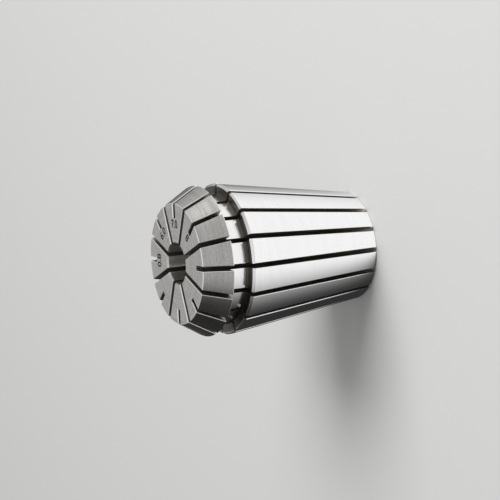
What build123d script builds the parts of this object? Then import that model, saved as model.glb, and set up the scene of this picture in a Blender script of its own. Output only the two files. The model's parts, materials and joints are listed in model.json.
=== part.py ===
from build123d import *

import os
from math import asin, cos, degrees, radians, sin, sqrt, tan

# Spring collet for a milling chuck: one piece of spring steel, turned, slit with a slitting saw,
# hardened and ground. The nut draws on the nose cone and pushes the main taper into the chuck,
# which closes the slots and grips a shank in the bore.
#
# The collet stands on its small rear face. The origin is the centre of that face, and +Z runs
# along the bore towards the nose. Sizes are in millimetres, angles in degrees from the axis.

# ---- driving dimensions: the turned blank
LENGTH = 34.0              # rear face to front face
BIG_DIAMETER = 26.0        # at the front corner of the main taper, and at the large end of the nose
TAPER_ANGLE = 8.0          # main taper
NOSE_ANGLE = 30.0          # nose cone, which the nut presses on
NOSE_LENGTH = 4.6          # front face to the groove's front wall
GROOVE_WIDTH = 3.5         # takes the nut's extraction ring
GROOVE_DIAMETER = 22.0     # groove floor
GROOVE_FILLET = 1.0        # foot of the groove's rear wall
BORE_DIAMETER = 7.0        # grips the shank

# ---- driving dimensions: edges
TAPER_CHAMFER = 0.35       # front corner of the main taper
NOSE_EDGE_BREAK = 0.15     # large end of the nose cone
FACE_EDGE_BREAK = 0.1      # round the front face
REAR_CHAMFER = 0.3         # round the rear face
BORE_CHAMFER = 0.25        # both mouths of the bore

# ---- driving dimensions: slots
SLOTS_PER_END = 8          # sawn from each end, the two sets half a pitch apart
SAW_WIDTH = 0.8            # saw blade of 63 x 0.8 mm
SAW_RADIUS = 31.5
SAW_DEPTH_RADIUS = 2.6     # the saw reaches this near the axis, so it opens the bore
FRONT_NOTCH_RADIUS = 7.85  # floor of a rear slot where it runs out through the front face
REAR_NOTCH_RADIUS = 8.5    # floor of a front slot where it runs out through the rear face
SLOT_EDGE_BREAK = 0.1      # broken edge along each side of every slot
TOOL_CLEARANCE = 2.0       # how far each cutter passes beyond the metal

# ---- radii and heights that follow
big_radius = BIG_DIAMETER / 2
bore_radius = BORE_DIAMETER / 2
mouth_radius = bore_radius + BORE_CHAMFER
groove_radius = GROOVE_DIAMETER / 2
groove_front_z = LENGTH - NOSE_LENGTH
groove_rear_z = groove_front_z - GROOVE_WIDTH
taper_z = groove_rear_z - TAPER_CHAMFER
face_radius = big_radius - NOSE_LENGTH * tan(radians(NOSE_ANGLE))
rear_radius = big_radius - taper_z * tan(radians(TAPER_ANGLE))


def down_the_nose(radius, z, distance):
    """The point that lies this far down the nose cone, which widens downwards."""
    return radius + distance * sin(radians(NOSE_ANGLE)), z - distance * cos(radians(NOSE_ANGLE))


def up_the_taper(radius, z, distance):
    """The point that lies this far up the main taper, which widens upwards."""
    return radius + distance * sin(radians(TAPER_ANGLE)), z + distance * cos(radians(TAPER_ANGLE))


def blank():
    """The turned and bored blank: half of its section, spun round the axis."""
    outline = Polyline(
        (bore_radius, BORE_CHAMFER),
        (bore_radius, LENGTH - BORE_CHAMFER),
        (mouth_radius, LENGTH),
        (face_radius - FACE_EDGE_BREAK, LENGTH),
        down_the_nose(face_radius, LENGTH, FACE_EDGE_BREAK),
        down_the_nose(big_radius, groove_front_z, -NOSE_EDGE_BREAK),
        (big_radius - NOSE_EDGE_BREAK, groove_front_z),
        (groove_radius, groove_front_z),
        (groove_radius, groove_rear_z),
        (big_radius - TAPER_CHAMFER, groove_rear_z),
        (big_radius, taper_z),
        up_the_taper(rear_radius, 0, REAR_CHAMFER),
        (rear_radius - REAR_CHAMFER, 0),
        (mouth_radius, 0),
        close=True,
    )
    section = make_face(outline)
    groove_foot = section.vertices().sort_by_distance((groove_radius, groove_rear_z))[0]
    return revolve(Plane.XZ * fillet(groove_foot, GROOVE_FILLET), Axis.Z)


def saw_pass(exit_radius, width, from_front):
    """What one pass of the saw removes at +X, from the end it enters to where it rises out of the other."""
    rise = exit_radius - SAW_DEPTH_RADIUS
    centre_z = sqrt(SAW_RADIUS**2 - (SAW_RADIUS - rise) ** 2)
    centre_radius = SAW_DEPTH_RADIUS + SAW_RADIUS
    swing = asin((centre_z + TOOL_CLEARANCE) / SAW_RADIUS)
    outside = big_radius + TOOL_CLEARANCE
    run_out = CenterArc((centre_radius, centre_z), SAW_RADIUS, 180, degrees(swing))
    rest = Polyline(
        run_out @ 1,
        (outside, -TOOL_CLEARANCE),
        (outside, LENGTH + TOOL_CLEARANCE),
        (SAW_DEPTH_RADIUS, LENGTH + TOOL_CLEARANCE),
        run_out @ 0,
    )
    side = Plane.XZ * make_face([run_out, *rest.edges()])
    front_pass = extrude(side, width / 2, both=True)
    return front_pass if from_front else mirror(front_pass, about=Plane.XY.offset(LENGTH / 2))


def edge_vee(start, end):
    """A vee along one straight stretch of the outline, wide enough to break both edges of a slot there."""
    depth = SAW_WIDTH / 2 + SLOT_EDGE_BREAK
    along = Vector(end[0] - start[0], 0, end[1] - start[1])
    across = Plane(origin=(start[0], 0, start[1]), x_dir=(0, 1, 0), z_dir=along)
    corners = Polyline((-2 * depth, depth), (0, -depth), (2 * depth, depth), close=True)
    return extrude(across * make_face(corners), along.length)


def slot(exit_radius, from_front):
    """One slot at +X: the saw's kerf, and the broken edges on the face, the nose, the taper and the rear."""
    stretches = [
        edge_vee((0, LENGTH), (face_radius, LENGTH)),
        edge_vee((face_radius, LENGTH), (big_radius, groove_front_z)),
        edge_vee((big_radius, taper_z), (rear_radius, 0)),
        edge_vee((rear_radius, 0), (0, 0)),
    ]
    kerf = saw_pass(exit_radius, SAW_WIDTH, from_front)
    reach = saw_pass(exit_radius, SAW_WIDTH + 4 * SLOT_EDGE_BREAK, from_front)
    return kerf + [reach & vee for vee in stretches]


def collet():
    """The finished collet: the blank slit from the front, and from the rear half a pitch further round."""
    front_slot = slot(REAR_NOTCH_RADIUS, from_front=True)
    rear_slot = slot(FRONT_NOTCH_RADIUS, from_front=False)
    front_places = PolarLocations(0, SLOTS_PER_END)
    rear_places = PolarLocations(0, SLOTS_PER_END, start_angle=180 / SLOTS_PER_END)
    cuts = [place * front_slot for place in front_places] + [place * rear_slot for place in rear_places]
    return blank() - cuts


os.makedirs("parts", exist_ok=True)
export_step(collet(), "parts/collet.step")
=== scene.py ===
import json
from math import ceil, cos, pi, radians, sin, tan

import bmesh
import bpy
from mathutils import Matrix, Quaternion, Vector


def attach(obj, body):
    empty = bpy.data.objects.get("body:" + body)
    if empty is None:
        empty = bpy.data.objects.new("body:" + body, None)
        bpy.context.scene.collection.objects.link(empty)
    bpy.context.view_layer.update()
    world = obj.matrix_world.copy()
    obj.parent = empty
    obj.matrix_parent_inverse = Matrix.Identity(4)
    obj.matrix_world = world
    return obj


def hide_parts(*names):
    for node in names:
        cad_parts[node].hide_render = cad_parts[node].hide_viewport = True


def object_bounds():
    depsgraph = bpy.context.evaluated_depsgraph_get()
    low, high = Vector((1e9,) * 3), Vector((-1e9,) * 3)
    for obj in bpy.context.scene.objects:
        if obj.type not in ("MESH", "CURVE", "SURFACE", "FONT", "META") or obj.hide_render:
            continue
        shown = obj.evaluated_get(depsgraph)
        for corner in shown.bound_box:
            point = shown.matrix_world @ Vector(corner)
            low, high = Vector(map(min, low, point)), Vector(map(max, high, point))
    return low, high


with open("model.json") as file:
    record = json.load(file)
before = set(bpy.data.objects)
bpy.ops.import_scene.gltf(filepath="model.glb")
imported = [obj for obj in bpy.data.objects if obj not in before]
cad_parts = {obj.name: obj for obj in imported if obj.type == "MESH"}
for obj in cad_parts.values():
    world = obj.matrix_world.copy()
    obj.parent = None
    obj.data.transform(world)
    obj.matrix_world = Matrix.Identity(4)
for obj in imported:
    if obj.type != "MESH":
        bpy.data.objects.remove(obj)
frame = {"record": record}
cad_low, cad_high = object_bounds()


# ---- Turned blank ----------------------------------------------------------------------------
# The collet starts as a bar of spring steel, bored and turned in one go: flat front face, nose
# cone for the nut, groove for the nut's ring, and the long taper, which is ground after hardening.

# Sizes are in millimetres, and this takes them to the frame's metres.
METRES = 0.001
collet_length = cad_high.z / METRES
big_radius = 13.0
bore_mount = next(mount for mount in frame["record"]["mounts"] if mount["name"] == "bore")
bore_radius = bore_mount["dims"]["r_mm"]
bore_chamfer = (collet_length - bore_mount["dims"]["length_mm"]) / 2
mouth_radius = bore_radius + bore_chamfer
nose_length = 4.6
nose_angle = radians(30)
taper_angle = radians(8)
groove_width = 3.5
groove_radius = 11.0
groove_front_z = collet_length - nose_length
groove_rear_z = groove_front_z - groove_width
taper_chamfer = 0.35
taper_z = groove_rear_z - taper_chamfer
rear_chamfer = 0.3
face_radius = big_radius - nose_length * tan(nose_angle)
rear_radius = big_radius - taper_z * tan(taper_angle)
blank_columns = 384
arc_step = radians(15)
hold_distance = 0.04

# Places in the blank's list of materials.
BORE, TURNED, GROOVE, FOOT_SHADE, GROUND, RIM = range(6)
section_corners = [
    # radius, height, rounding of the corner, finish of the surface that follows it (at the groove's foot,
    #     # painted shade)
    (bore_radius, bore_chamfer, 0.05, BORE),
    (bore_radius, collet_length - bore_chamfer, 0.05, TURNED),
    (mouth_radius, collet_length, 0.06, TURNED),
    (face_radius, collet_length, 0.17, TURNED),
    (big_radius, groove_front_z, 0.09, GROOVE),
    (groove_radius, groove_front_z, 0.25, GROOVE),
    (groove_radius, groove_rear_z, 0.5, FOOT_SHADE),
    (big_radius - taper_chamfer, groove_rear_z, 0.08, GROUND),
    (big_radius, taper_z, 0.12, GROUND),
    (rear_radius + rear_chamfer * sin(taper_angle), rear_chamfer * cos(taper_angle), 0.25, GROUND),
    (rear_radius - rear_chamfer, 0, 0.15, TURNED),
    (mouth_radius, 0, 0.06, TURNED),
]


def rounded_section(corners):
    """The section with an arc at each corner, and a close point beside each arc to hold the flats flat.

    An arc that stands out, and so catches the brush, has the rim's finish.
    """
    points = []
    for index, (radius, height, rounding, finish) in enumerate(corners):
        corner = Vector((radius, height))
        before = (Vector(corners[index - 1][:2]) - corner).normalized()
        after = (Vector(corners[(index + 1) % len(corners)][:2]) - corner).normalized()
        turn = pi - before.angle(after)
        setback = rounding * tan(turn / 2)
        centre = corner + (before + after).normalized() * rounding / cos(turn / 2)
        start = corner + before * setback
        side = 1 if before.cross(after) < 0 else -1
        arc_finish = finish if side > 0 else RIM
        steps = ceil(turn / arc_step)
        points.append((start + before * hold_distance, corners[index - 1][3]))
        for step in range(steps + 1):
            spoke = start - centre
            spoke.rotate(Matrix.Rotation(side * turn * step / steps, 2))
            points.append((centre + spoke, arc_finish if step < steps else finish))
        points.append((corner + after * (setback + hold_distance), finish))
    return points


def spun_mesh(name, points, columns):
    """A closed ring of metal from its half section, spun round the collet's axis."""
    vertices = []
    for column in range(columns):
        angle = 2 * pi * column / columns
        for point, finish in points:
            vertices.append(Vector((point.x * cos(angle), point.x * sin(angle), point.y)) * METRES)
    count = len(points)
    faces = []
    for column in range(columns):
        here = column * count
        there = (column + 1) % columns * count
        for row in range(count):
            after = (row + 1) % count
            faces.append((here + row, here + after, there + after, there + row))
    mesh = bpy.data.meshes.new(name)
    mesh.from_pydata(vertices, [], faces)
    mesh.polygons.foreach_set("material_index", [finish for point, finish in points] * columns)
    return mesh


octave_share = 0.6
noise_low, noise_high = 0.3, 0.7
quarter_turn = 0.25
ridge_across, ridge_around, ridge_detail = 9000, 250, 3
streak_across, streak_around, streak_detail = 2200, 120, 4
grain_scale, grain_detail = 3600, 4


def lathe_pattern(material, across, around, detail):
    """Noise drawn out round the axis, as a lathe or grinding wheel leaves it: fine across, long around."""
    nodes, link = material.node_tree.nodes, material.node_tree.links.new
    place = nodes.new("ShaderNodeTexCoord").outputs["Object"]
    level = nodes.new("ShaderNodeVectorMath")
    level.operation = "MULTIPLY"
    level.inputs[1].default_value = (1, 1, 0)
    link(place, level.inputs[0])
    radius = nodes.new("ShaderNodeVectorMath")
    radius.operation = "LENGTH"
    link(level.outputs[0], radius.inputs[0])
    split = nodes.new("ShaderNodeSeparateXYZ")
    link(place, split.inputs[0])
    along = nodes.new("ShaderNodeMath")
    along.operation = "SUBTRACT"
    link(radius.outputs["Value"], along.inputs[0])
    link(split.outputs["Z"], along.inputs[1])
    join = nodes.new("ShaderNodeCombineXYZ")
    link(split.outputs["X"], join.inputs["X"])
    link(split.outputs["Y"], join.inputs["Y"])
    link(along.outputs[0], join.inputs["Z"])
    stretch = nodes.new("ShaderNodeVectorMath")
    stretch.operation = "MULTIPLY"
    stretch.inputs[1].default_value = (around, around, across)
    link(join.outputs[0], stretch.inputs[0])
    noise = nodes.new("ShaderNodeTexNoise")
    noise.inputs["Scale"].default_value = 1
    noise.inputs["Detail"].default_value = detail
    noise.inputs["Roughness"].default_value = octave_share
    link(stretch.outputs[0], noise.inputs["Vector"])
    return noise.outputs["Fac"]


def spread(material, pattern, low, high):
    """The pattern's middle range, carried over to a range of some setting."""
    stretch = material.node_tree.nodes.new("ShaderNodeMapRange")
    stretch.inputs["From Min"].default_value = noise_low
    stretch.inputs["From Max"].default_value = noise_high
    stretch.inputs["To Min"].default_value = low
    stretch.inputs["To Max"].default_value = high
    material.node_tree.links.new(pattern, stretch.inputs["Value"])
    return stretch.outputs["Result"]


def two_tones(material, pattern, light, dark):
    """Colours the steel between a light and a dark tone by a pattern."""
    tint = material.node_tree.nodes.new("ShaderNodeMix")
    tint.data_type = "RGBA"
    tint.inputs["A"].default_value = (*dark, 1)
    tint.inputs["B"].default_value = (*light, 1)
    link = material.node_tree.links.new
    link(spread(material, pattern, 0, 1), tint.inputs["Factor"])
    link(tint.outputs["Result"], material.node_tree.nodes["Principled BSDF"].inputs["Base Color"])


def lathe_steel(name, light, dark, polish, ridge, anisotropy):
    """Steel cut or ground while it spins: ridges and streaks round the axis, over a fine grain."""
    material = bpy.data.materials.new(name)
    material.use_nodes = True
    nodes, link = material.node_tree.nodes, material.node_tree.links.new
    steel = nodes["Principled BSDF"]
    steel.inputs["Metallic"].default_value = 1
    steel.inputs["Anisotropic"].default_value = anisotropy
    steel.inputs["Anisotropic Rotation"].default_value = quarter_turn
    ridges = lathe_pattern(material, ridge_across, ridge_around, ridge_detail)
    streaks = lathe_pattern(material, streak_across, streak_around, streak_detail)
    grain = nodes.new("ShaderNodeTexNoise")
    grain.inputs["Scale"].default_value = grain_scale
    grain.inputs["Detail"].default_value = grain_detail
    link(nodes.new("ShaderNodeTexCoord").outputs["Object"], grain.inputs["Vector"])
    marks = nodes.new("ShaderNodeMix")
    link(streaks, marks.inputs["A"])
    link(grain.outputs["Fac"], marks.inputs["B"])
    two_tones(material, marks.outputs["Result"], light, dark)
    link(spread(material, streaks, *polish), steel.inputs["Roughness"])
    bump = nodes.new("ShaderNodeBump")
    bump.inputs["Distance"].default_value = ridge
    link(ridges, bump.inputs["Height"])
    link(bump.outputs["Normal"], steel.inputs["Normal"])
    turn = nodes.new("ShaderNodeVectorMath")
    turn.operation = "CROSS_PRODUCT"
    turn.inputs[0].default_value = (0, 0, 1)
    link(nodes.new("ShaderNodeTexCoord").outputs["Object"], turn.inputs[1])
    around = nodes.new("ShaderNodeVectorMath")
    around.operation = "NORMALIZE"
    link(turn.outputs[0], around.inputs[0])
    link(around.outputs[0], steel.inputs["Tangent"])
    return material


bored_steel = lathe_steel("bored_steel", (0.96, 0.95, 0.92), (0.78, 0.77, 0.74), (0.42, 0.32), 2e-6, 0.3)
turned_steel = lathe_steel("turned_steel", (0.76, 0.75, 0.73), (0.46, 0.45, 0.43), (0.40, 0.32), 3e-6, 0.4)
grooved_steel = lathe_steel("grooved_steel", (0.92, 0.92, 0.91), (0.86, 0.86, 0.85), (0.20, 0.16), 3e-7, 0.5)
# The fillet and rear wall at the groove's foot are painted nearly black: painted shade for the inner corner
# of the groove.
foot_steel = lathe_steel("foot_steel", (0.15, 0.14, 0.12), (0.10, 0.09, 0.08), (0.38, 0.30), 1e-6, 0.4)
ground_steel = lathe_steel("ground_steel", (0.95, 0.95, 0.95), (0.89, 0.89, 0.89), (0.22, 0.18), 2e-7, 0.9)
brushed_rim = lathe_steel("brushed_rim", (0.97, 0.97, 0.96), (0.93, 0.93, 0.92), (0.26, 0.20), 1e-7, 0.3)
blank_points = rounded_section(section_corners)
blank = bpy.data.objects.new("collet_body", spun_mesh("collet_body", blank_points, blank_columns))
bpy.context.scene.collection.objects.link(blank)
for finish in (bored_steel, turned_steel, grooved_steel, foot_steel, ground_steel, brushed_rim):
    blank.data.materials.append(finish)


# ---- Saw slots -------------------------------------------------------------------------------
# A 63 mm slitting saw cuts the blank into springs: one set of slots from the front, one from the
# rear half a pitch further round. Each runs out in the arc of the saw before it parts the steel.
# The brush that takes off the burrs leaves every slot's edges on the outside slightly round.

slots_per_end = 8
saw_width = 0.8
saw_radius = 31.5
saw_depth_radius = 2.6
front_notch_radius = 7.85
rear_notch_radius = 8.5
edge_rounding = 0.12
facet_turn = radians(22.5)
flare_height = 0.1
flare_depth = 0.05
flare_inset = 0.02
cutter_clearance = 2.0
arc_points = 40


def prism_mesh(name, rings):
    """A closed mesh through rings of points that match one to one, the first and last ring capped."""
    count = len(rings[0])
    vertices = [point * METRES for ring in rings for point in ring]
    faces = [tuple(range(count))[::-1], tuple(range((len(rings) - 1) * count, len(rings) * count))]
    for row in range(len(rings) - 1):
        for index in range(count):
            after = (index + 1) % count
            low, high = row * count, (row + 1) * count
            faces.append((low + index, low + after, high + after, high + index))
    mesh = bpy.data.meshes.new(name)
    mesh.from_pydata(vertices, [], faces)
    return mesh


def kerf_side(exit_radius):
    """Side view of one pass of the saw, as (radius, height): in at the front, out at the rear face."""
    rise = exit_radius - saw_depth_radius
    centre_height = (saw_radius**2 - (saw_radius - rise) ** 2) ** 0.5
    lowest = centre_height + cutter_clearance
    outside = big_radius + cutter_clearance
    above = collet_length + cutter_clearance
    points = [(saw_depth_radius, above), (outside, above), (outside, -cutter_clearance)]
    for step in range(arc_points, -1, -1):
        drop = lowest * step / arc_points
        reach = (saw_radius**2 - drop**2) ** 0.5
        points.append((saw_depth_radius + saw_radius - reach, centre_height - drop))
    return points


def kerf_mesh(name, exit_radius, from_front):
    """The kerf at +X. A slot from the rear is the same cut, turned end for end."""
    rings = []
    for across in (-saw_width / 2, saw_width / 2):
        side = [Vector((radius, across, height)) for radius, height in kerf_side(exit_radius)]
        if not from_front:
            side = [Vector((point.x, -point.y, collet_length - point.z)) for point in side]
        rings.append(side)
    return prism_mesh(name, rings)


def flare_section():
    """Across one slot, as (sideways, up from the outside): three facets a side that round its edges."""
    facet = edge_rounding / (sin(facet_turn) + sin(2 * facet_turn) + sin(3 * facet_turn))
    side = [(saw_width / 2 - flare_inset, -edge_rounding - flare_depth)]
    sideways, up = saw_width / 2, -edge_rounding
    for turn in (1, 2):
        sideways += facet * sin(turn * facet_turn)
        up += facet * cos(turn * facet_turn)
        side.append((sideways, up))
    last = (flare_height - up) / cos(3 * facet_turn)
    side.append((sideways + last * sin(3 * facet_turn), flare_height))
    return side + [(-sideways, up) for sideways, up in reversed(side)]


def flare_mesh(name, run):
    """What rounds a slot's edges along straight stretches of the outside, mitred where they meet."""
    points = [Vector(point) for point in run]
    outward = []
    for start, end in zip(points, points[1:]):
        along = (end - start).normalized()
        outward.append(Vector((-along.y, along.x)))
    rings = []
    for index, point in enumerate(points):
        one, other = outward[max(index - 1, 0)], outward[min(index, len(outward) - 1)]
        mitre = (one + other) / (1 + one.dot(other))
        ring = []
        for sideways, up in flare_section():
            spot = point + mitre * up
            ring.append(Vector((spot.x, sideways, spot.y)))
        rings.append(ring)
    return prism_mesh(name, rings)


def joined_mesh(name, parts):
    """Meshes that don't touch, as one."""
    vertices, faces = [], []
    for part in parts:
        faces += [tuple(len(vertices) + index for index in face.vertices) for face in part.polygons]
        vertices += [vertex.co.copy() for vertex in part.vertices]
    mesh = bpy.data.meshes.new(name)
    mesh.from_pydata(vertices, [], faces)
    return mesh


def cutter_object(mesh):
    """An object for a cutter, which isn't linked to the scene and so never shows."""
    return bpy.data.objects.new(mesh.name, mesh)


def slitting_tree():
    """Cuts a ring of kerfs, and the rounding of their edges, out of the metal."""
    tree = bpy.data.node_groups.new("slit_with_saw", "GeometryNodeTree")
    tree.is_modifier = True
    sockets = tree.interface
    sockets.new_socket("Metal", in_out="INPUT", socket_type="NodeSocketGeometry")
    sockets.new_socket("Kerf", in_out="INPUT", socket_type="NodeSocketObject")
    sockets.new_socket("Edge flare", in_out="INPUT", socket_type="NodeSocketObject")
    sockets.new_socket("Slots", in_out="INPUT", socket_type="NodeSocketInt")
    sockets.new_socket("First slot", in_out="INPUT", socket_type="NodeSocketFloat")
    sockets.new_socket("Sawn steel", in_out="INPUT", socket_type="NodeSocketMaterial")
    sockets.new_socket("Metal", in_out="OUTPUT", socket_type="NodeSocketGeometry")
    given = tree.nodes.new("NodeGroupInput").outputs
    link = tree.links.new

    centres = tree.nodes.new("GeometryNodePoints")
    link(given["Slots"], centres.inputs["Count"])
    pitch = tree.nodes.new("ShaderNodeMath")
    pitch.operation = "DIVIDE"
    pitch.inputs[0].default_value = 2 * pi
    link(given["Slots"], pitch.inputs[1])
    turn = tree.nodes.new("ShaderNodeMath")
    turn.operation = "MULTIPLY_ADD"
    link(tree.nodes.new("GeometryNodeInputIndex").outputs[0], turn.inputs[0])
    link(pitch.outputs[0], turn.inputs[1])
    link(given["First slot"], turn.inputs[2])
    spin = tree.nodes.new("ShaderNodeCombineXYZ")
    link(turn.outputs[0], spin.inputs["Z"])

    cut = tree.nodes.new("GeometryNodeMeshBoolean")
    cut.operation = "DIFFERENCE"
    cut.solver = "MANIFOLD"
    link(given["Metal"], cut.inputs["Mesh 1"])
    for cutter in ("Kerf", "Edge flare"):
        shape = tree.nodes.new("GeometryNodeObjectInfo")
        link(given[cutter], shape.inputs["Object"])
        ring = tree.nodes.new("GeometryNodeInstanceOnPoints")
        link(centres.outputs[0], ring.inputs["Points"])
        link(shape.outputs["Geometry"], ring.inputs["Instance"])
        link(spin.outputs[0], ring.inputs["Rotation"])
        solid = tree.nodes.new("GeometryNodeRealizeInstances")
        link(ring.outputs[0], solid.inputs[0])
        mark = tree.nodes.new("GeometryNodeStoreNamedAttribute")
        mark.data_type = "BOOLEAN"
        mark.domain = "FACE"
        mark.inputs["Name"].default_value = "sawn"
        mark.inputs["Value"].default_value = cutter == "Kerf"
        link(solid.outputs[0], mark.inputs["Geometry"])
        link(mark.outputs[0], cut.inputs["Mesh 2"])

    whole = tree.nodes.new("GeometryNodeRealizeInstances")
    link(cut.outputs[0], whole.inputs[0])
    sawn = tree.nodes.new("GeometryNodeInputNamedAttribute")
    sawn.data_type = "BOOLEAN"
    sawn.inputs["Name"].default_value = "sawn"
    # The kerf faces get the sawn steel, whose darker tones are partly painted shade.
    finish = tree.nodes.new("GeometryNodeSetMaterial")
    link(whole.outputs[0], finish.inputs["Geometry"])
    link(sawn.outputs["Attribute"], finish.inputs["Selection"])
    link(given["Sawn steel"], finish.inputs["Material"])
    link(finish.outputs[0], tree.nodes.new("NodeGroupOutput").inputs[0])
    return tree


def set_inputs(modifier, values):
    """Gives a Geometry Nodes modifier its inputs by name, through each socket's identifier."""
    for socket in modifier.node_group.interface.items_tree:
        if socket.in_out == "INPUT" and socket.name in values:
            modifier[socket.identifier] = values[socket.name]


rough_detail = 5


def rough_steel(name, light, dark, roughness, grain, ridge):
    """Steel with a matt, grainy surface: sawn, or etched."""
    material = bpy.data.materials.new(name)
    material.use_nodes = True
    nodes, link = material.node_tree.nodes, material.node_tree.links.new
    steel = nodes["Principled BSDF"]
    steel.inputs["Metallic"].default_value = 1
    steel.inputs["Roughness"].default_value = roughness
    noise = nodes.new("ShaderNodeTexNoise")
    noise.inputs["Scale"].default_value = grain
    noise.inputs["Detail"].default_value = rough_detail
    link(nodes.new("ShaderNodeTexCoord").outputs["Object"], noise.inputs["Vector"])
    two_tones(material, noise.outputs["Fac"], light, dark)
    bump = nodes.new("ShaderNodeBump")
    bump.inputs["Distance"].default_value = ridge
    link(noise.outputs["Fac"], bump.inputs["Height"])
    link(bump.outputs["Normal"], steel.inputs["Normal"])
    return material


# Sawn faces: the saw leaves duller, browner steel than the grinder, and these tones are also set darker as
# painted shade deep in the slots.
sawn_steel = rough_steel("sawn_steel", (0.58, 0.53, 0.46), (0.36, 0.33, 0.29), 0.45, 3000, 3e-6)
brushed_edge = rough_steel("brushed_edge", (0.96, 0.96, 0.95), (0.88, 0.88, 0.87), 0.22, 4000, 2e-7)
slit_with_saw = slitting_tree()
nose_overrun = 0.3
past_nose = (big_radius + nose_overrun * sin(nose_angle), groove_front_z - nose_overrun * cos(nose_angle))
taper_overrun = 0.4
past_taper = (big_radius + taper_overrun * sin(taper_angle), taper_z + taper_overrun * cos(taper_angle))
for end, nose_start, rear_stop, exit_radius, first_slot in (
    ("front", saw_depth_radius, rear_notch_radius, rear_notch_radius, 0),
    ("rear", front_notch_radius, saw_depth_radius, front_notch_radius, pi / slots_per_end),
):
    nose_run = [(nose_start, collet_length), (face_radius, collet_length), past_nose]
    taper_run = [past_taper, (rear_radius, 0), (rear_stop, 0)]
    kerf = cutter_object(kerf_mesh(end + "_kerf", exit_radius, end == "front"))
    flares = [flare_mesh(end + "_nose_flare", nose_run), flare_mesh(end + "_taper_flare", taper_run)]
    flare = cutter_object(joined_mesh(end + "_flare", flares))
    kerf.data.materials.append(sawn_steel)
    flare.data.materials.append(brushed_edge)
    cut = blank.modifiers.new(end + "_slots", "NODES")
    cut.node_group = slit_with_saw
    set_inputs(cut, {
        "Kerf": kerf,
        "Edge flare": flare,
        "Slots": slots_per_end,
        "First slot": first_slot,
        "Sawn steel": sawn_steel,
    })


# ---- Size numbers ----------------------------------------------------------------------------
# Plain numbers etched into the front face between the slots, tops outward: the bore's largest
# and smallest shank, the slot's width and the taper's angle.

number_height = 1.35
number_radius = 6.75
number_depth = 0.05
cap_share = 0.7
stroke_growth = 0.05
curve_steps = 6
weld_distance = 1e-7
etched_steel = rough_steel("etched_steel", (0.05, 0.045, 0.04), (0.02, 0.018, 0.016), 0.7, 5000, 2e-6)
numbers = []
for text, angle in (("7.0", 337.5), ("6.0", 22.5), ("0.8", 67.5), ("8", 292.5)):
    letters = bpy.data.curves.new("number", "FONT")
    letters.body = text
    letters.size = number_height / cap_share
    letters.align_x = "CENTER"
    letters.align_y = "CENTER"
    letters.extrude = number_depth
    letters.offset = stroke_growth
    letters.resolution_u = curve_steps
    number = bpy.data.meshes.new_from_object(bpy.data.objects.new("number", letters))
    out = Matrix.Translation((0, number_radius, collet_length))
    number.transform(Matrix.Scale(METRES, 4) @ Matrix.Rotation(radians(angle - 90), 4, "Z") @ out)
    numbers.append(number)
etching = cutter_object(joined_mesh("numbers", numbers))
etching.data.materials.append(etched_steel)

# The letters' fronts and sides only touch until their doubled points are merged.
closing = bmesh.new()
closing.from_mesh(etching.data)
bmesh.ops.remove_doubles(closing, verts=closing.verts, dist=weld_distance)
closing.to_mesh(etching.data)
closing.free()
etch = blank.modifiers.new("numbers", "BOOLEAN")
etch.operation = "DIFFERENCE"
etch.solver = "MANIFOLD"
etch.material_mode = "TRANSFER"
etch.object = etching


# ---- Finished collet -------------------------------------------------------------------------
# With the slots and the numbers cut, the collet is one plain piece of steel. Its flats and cones
# shade smooth, and every worked edge stays crisp.

crisp_turn = radians(20)
finished = bpy.data.meshes.new_from_object(blank.evaluated_get(bpy.context.evaluated_depsgraph_get()))
blank.modifiers.clear()
blank.data = finished
finished.name = "collet_body"
finished.shade_smooth()
finished.set_sharp_from_angle(angle=crisp_turn)
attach(blank, "root")
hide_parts("collet")


# ---- Bench and light -------------------------------------------------------------------------
# A plain pale board and one soft lamp to the right of the collet. In the polished steel the board is a
# # painted reflection instead: it glows white on the lamp's side and fades to painted shade on the side
# # away from it. The polished steel also shows the room round it: pale ahead and to the right, with a
# # soft box there, dark to the left and behind.

bench_half = 1.5
board_colour = (0.68, 0.68, 0.67, 1)
board_roughness = 0.7
painted_reflection_bright, painted_reflection_shade = 1.0, 0.03
painted_reflection_middle = (-0.0035, -0.0082, 0)
painted_shade_side = (-0.342, 0.940, 0)
bright_until, dark_from = -0.64, 0.85
corners = [(-bench_half, -bench_half, 0), (bench_half, -bench_half, 0)]
corners += [(bench_half, bench_half, 0), (-bench_half, bench_half, 0)]
bench = bpy.data.meshes.new("bench")
bench.from_pydata(corners, [], [(0, 1, 2, 3)])
floor = bpy.data.objects.new("bench", bench)
bpy.context.scene.collection.objects.link(floor)


def turned_towards(tree, way, side, start, full, low, high):
    """A level that goes from low to high as a direction turns towards one side."""
    turned = tree.nodes.new("ShaderNodeVectorMath")
    turned.operation = "DOT_PRODUCT"
    turned.inputs[1].default_value = side
    tree.links.new(way, turned.inputs[0])
    level = tree.nodes.new("ShaderNodeMapRange")
    level.interpolation_type = "SMOOTHSTEP"
    level.inputs["From Min"].default_value = start
    level.inputs["From Max"].default_value = full
    level.inputs["To Min"].default_value = low
    level.inputs["To Max"].default_value = high
    tree.links.new(turned.outputs["Value"], level.inputs["Value"])
    return level.outputs["Result"]


board = bpy.data.materials.new("pale_board")
board.use_nodes = True
tree = board.node_tree
matt = tree.nodes["Principled BSDF"]
matt.inputs["Base Color"].default_value = board_colour
matt.inputs["Roughness"].default_value = board_roughness
offset = tree.nodes.new("ShaderNodeVectorMath")
offset.operation = "SUBTRACT"
offset.inputs[1].default_value = painted_reflection_middle
tree.links.new(tree.nodes.new("ShaderNodeTexCoord").outputs["Object"], offset.inputs[0])
way = tree.nodes.new("ShaderNodeVectorMath")
way.operation = "NORMALIZE"
tree.links.new(offset.outputs["Vector"], way.inputs[0])
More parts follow.
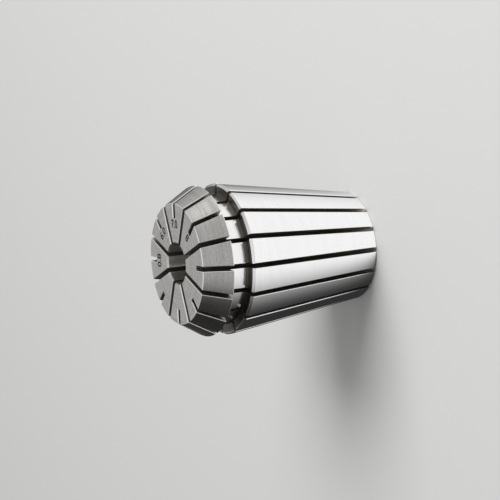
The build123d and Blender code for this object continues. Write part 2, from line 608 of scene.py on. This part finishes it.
# What the steel sees of the board: a painted reflection, glowing white on the lamp's side and fading to
# painted shade away from it.
shown = tree.nodes.new("ShaderNodeEmission")
level = turned_towards(tree, way.outputs["Vector"], painted_shade_side, bright_until, dark_from,
                       painted_reflection_bright, painted_reflection_shade)
tree.links.new(level, shown.inputs["Strength"])
seen = tree.nodes.new("ShaderNodeMixShader")
tree.links.new(tree.nodes.new("ShaderNodeLightPath").outputs["Is Glossy Ray"], seen.inputs["Fac"])
tree.links.new(matt.outputs["BSDF"], seen.inputs[1])
tree.links.new(shown.outputs["Emission"], seen.inputs[2])
tree.links.new(seen.outputs["Shader"], tree.nodes["Material Output"].inputs["Surface"])
bench.materials.append(board)

middle = Vector((0, 0, 0.015))


def direction(azimuth, elevation):
    """Unit vector from the collet; azimuth 0 is the front, where -Y is, and 90 the right, where +X is."""
    azimuth, elevation = radians(azimuth), radians(elevation)
    return Vector((sin(azimuth) * cos(elevation), -cos(azimuth) * cos(elevation), sin(elevation)))


lamp_azimuth, lamp_elevation, lamp_distance = 60, 48, 0.7
lamp_width = 0.5
lamp_power = 5.0
lamp = bpy.data.lights.new("key_light", "AREA")
lamp.shape = "SQUARE"
lamp.size = lamp_width
lamp.energy = lamp_power
key_light = bpy.data.objects.new("key_light", lamp)
key_light.visible_glossy = False
key_light.location = middle + direction(lamp_azimuth, lamp_elevation) * lamp_distance
key_light.rotation_mode = "QUATERNION"
key_light.rotation_quaternion = direction(lamp_azimuth, lamp_elevation).to_track_quat("Z", "Y")
bpy.context.scene.collection.objects.link(key_light)

room_light = 0.36
room_backdrop = 0.8
wall_bright, wall_dark = 0.54, 0.02
wall_dark_side = (-0.906, 0.423, 0)
wall_bright_until, wall_dark_from = 0.3, 0.8
box_bright = 0.5
box_side = (0.95, -0.25, 0.2)
box_from, box_full = 0.9, 0.98
ceiling_bright = 0.5
ceiling_side = (0, 0, 1)
ceiling_from, ceiling_full = 0.8, 0.95
world = bpy.data.worlds.new("room")
world.use_nodes = True
tree = world.node_tree
background = tree.nodes["Background"]
way = tree.nodes.new("ShaderNodeTexCoord").outputs["Generated"]
walls = turned_towards(tree, way, wall_dark_side, wall_bright_until, wall_dark_from,
                       wall_bright, wall_dark)
soft_box = turned_towards(tree, way, box_side, box_from, box_full, 0, box_bright)
ceiling = turned_towards(tree, way, ceiling_side, ceiling_from, ceiling_full, 0, ceiling_bright)
sides = tree.nodes.new("ShaderNodeMath")
tree.links.new(walls, sides.inputs[0])
tree.links.new(soft_box, sides.inputs[1])
mirrored = tree.nodes.new("ShaderNodeMath")
tree.links.new(sides.outputs["Value"], mirrored.inputs[0])
tree.links.new(ceiling, mirrored.inputs[1])
ray = tree.nodes.new("ShaderNodeLightPath").outputs
in_steel = tree.nodes.new("ShaderNodeMix")
in_steel.inputs["A"].default_value = room_light
tree.links.new(ray["Is Glossy Ray"], in_steel.inputs["Factor"])
tree.links.new(mirrored.outputs["Value"], in_steel.inputs["B"])
in_view = tree.nodes.new("ShaderNodeMix")
in_view.inputs["B"].default_value = room_backdrop
tree.links.new(ray["Is Camera Ray"], in_view.inputs["Factor"])
tree.links.new(in_steel.outputs["Result"], in_view.inputs["A"])
background.inputs["Color"].default_value = (1, 1, 1, 1)
tree.links.new(in_view.outputs["Result"], background.inputs["Strength"])
bpy.context.scene.world = world
bpy.context.scene.view_settings.view_transform = "Standard"


# ---- Camera ----------------------------------------------------------------------------------
# Rolled on its side, so that the collet that stands on the bench is seen lying down, nose to the
# left.

view_azimuth = -14.578
view_elevation = 27.196
view_roll = radians(-96.179)
view_distance = 0.40209
look_at = Vector((0.00146, 0.00164, 0.0188))
sensor_width = 36
focal_length = 166.6
camera_data = bpy.data.cameras.new("camera")
camera_data.sensor_width = sensor_width
camera_data.lens = focal_length
camera = bpy.data.objects.new("camera", camera_data)
camera.location = middle + direction(view_azimuth, view_elevation) * view_distance
camera.rotation_mode = "QUATERNION"
aim = (camera.location - look_at).to_track_quat("Z", "Y")
camera.rotation_quaternion = aim @ Quaternion((0, 0, 1), view_roll)
bpy.context.scene.collection.objects.link(camera)
bpy.context.scene.camera = camera

bpy.context.view_layer.update()
